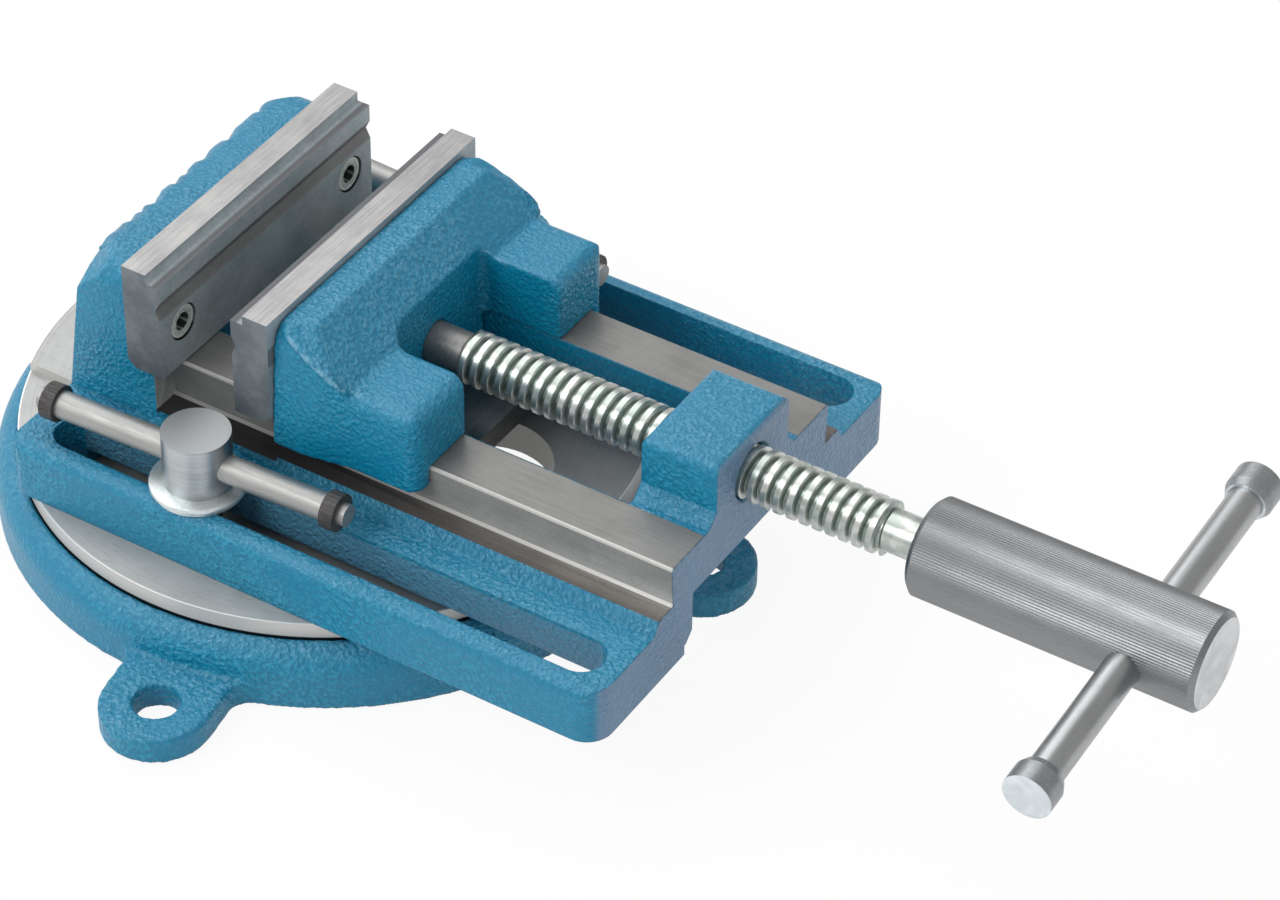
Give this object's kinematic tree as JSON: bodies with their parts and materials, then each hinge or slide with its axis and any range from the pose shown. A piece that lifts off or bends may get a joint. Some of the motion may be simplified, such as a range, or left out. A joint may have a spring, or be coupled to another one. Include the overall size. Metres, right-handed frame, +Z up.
{
  "type": "swivel machine vise",
  "caption": "Screw-operated machine vise on a round swivel base, with a bed that shifts and turns under side clamps, stepped steel jaw plates and a cross-bar handle.",
  "frame": {"origin": "on the swivel axis, in the plane of the table that the base stands on", "axes": "+X along the bed and the spindle towards the handle, +Y across the jaws, +Z up along the swivel axis"},
  "size_m": [0.3708, 0.2528, 0.095],
  "materials": {
    "base_paint": "blue hammered paint on cast iron",
    "bed_paint": "blue hammered paint on cast iron, ways and ledges milled bare",
    "jaw_paint": "blue hammered paint on cast iron",
    "turned_iron": "bare cast iron, turned",
    "jaw_steel": "milled steel, oiled",
    "ground_steel": "ground steel",
    "zinc_screw": "zinc plated",
    "spindle_steel": "bright zinc plated thread, dark nose",
    "pin_steel": "black oxide steel",
    "knurled_steel": "straight knurl",
    "bar_steel": "drawn bright steel",
    "zinc_cap": "zinc plated",
    "zinc_bolt": "zinc plated, turned",
    "black_ring": "ribbed black ring"
  },
  "bodies": {
    "base": {"base": "base_paint"},
    "turntable": {"turntable": "turned_iron", "near_slot_nut": "pin_steel", "far_slot_nut": "pin_steel"},
    "bed": {"bed": "bed_paint", "fixed_jaw_plate": "jaw_steel", "fixed_jaw_screws": "zinc_screw"},
    "movable_jaw": {"movable_jaw": "jaw_paint", "movable_jaw_plate": "jaw_steel", "movable_jaw_screws": "zinc_screw", "keeper_plate": "ground_steel", "keeper_screws": "zinc_screw", "spindle_pin": "pin_steel"},
    "spindle": {"spindle": "spindle_steel", "handle_hub": "knurled_steel"},
    "handle_bar": {"handle_bar": "bar_steel", "handle_caps": "zinc_cap"},
    "near_clamp": {"near_clamp_bolt": "zinc_bolt", "near_washer": "zinc_bolt"},
    "near_bar": {"near_clamp_bar": "bar_steel", "near_bar_rings": "black_ring"},
    "far_clamp": {"far_clamp_bolt": "zinc_bolt", "far_washer": "zinc_bolt"},
    "far_bar": {"far_clamp_bar": "bar_steel", "far_bar_rings": "black_ring"}
  },
  "joints": [
    {"name": "swivel", "type": "hinge", "parent": "base", "child": "turntable", "pos_m": [0, 0, 0.017], "axis": [0, 0, 1], "continuous": true},
    {"name": "bed_shift", "type": "slide", "parent": "turntable", "child": "bed", "axis": [1, 0, 0], "range_m": [-0.09, 0.036]},
    {"name": "jaw_slide", "type": "slide", "parent": "bed", "child": "movable_jaw", "axis": [1, 0, 0], "range_m": [-0.0239, 0.066]},
    {"name": "spindle_turn", "type": "hinge", "parent": "movable_jaw", "child": "spindle", "pos_m": [0.0345, 0, 0.06475], "axis": [1, 0, 0], "range_deg": [-2152, 5941]},
    {"name": "bar_slide", "type": "slide", "parent": "spindle", "child": "handle_bar", "axis": [0, 0.9968, 0.0802], "range_m": [-0.041, 0.041]},
    {"name": "near_clamp_turn", "type": "hinge", "parent": "turntable", "child": "near_clamp", "pos_m": [0, -0.0643, 0.0455], "axis": [0, 0, 1], "range_deg": [-10, 5]},
    {"name": "near_bar_slide", "type": "slide", "parent": "near_clamp", "child": "near_bar", "axis": [0.9989, 0.0471, 0], "range_m": [-0.02, 0.02]},
    {"name": "far_clamp_turn", "type": "hinge", "parent": "turntable", "child": "far_clamp", "pos_m": [0, 0.0643, 0.0455], "axis": [0, 0, 1], "range_deg": [-5, 10]},
    {"name": "far_bar_slide", "type": "slide", "parent": "far_clamp", "child": "far_bar", "axis": [0.9989, -0.0471, 0], "range_m": [-0.02, 0.02]}
  ],
  "couplings": [
    {"joint": "spindle_turn", "follows": "jaw_slide", "rad_per_m": 1570.8}
  ]
}
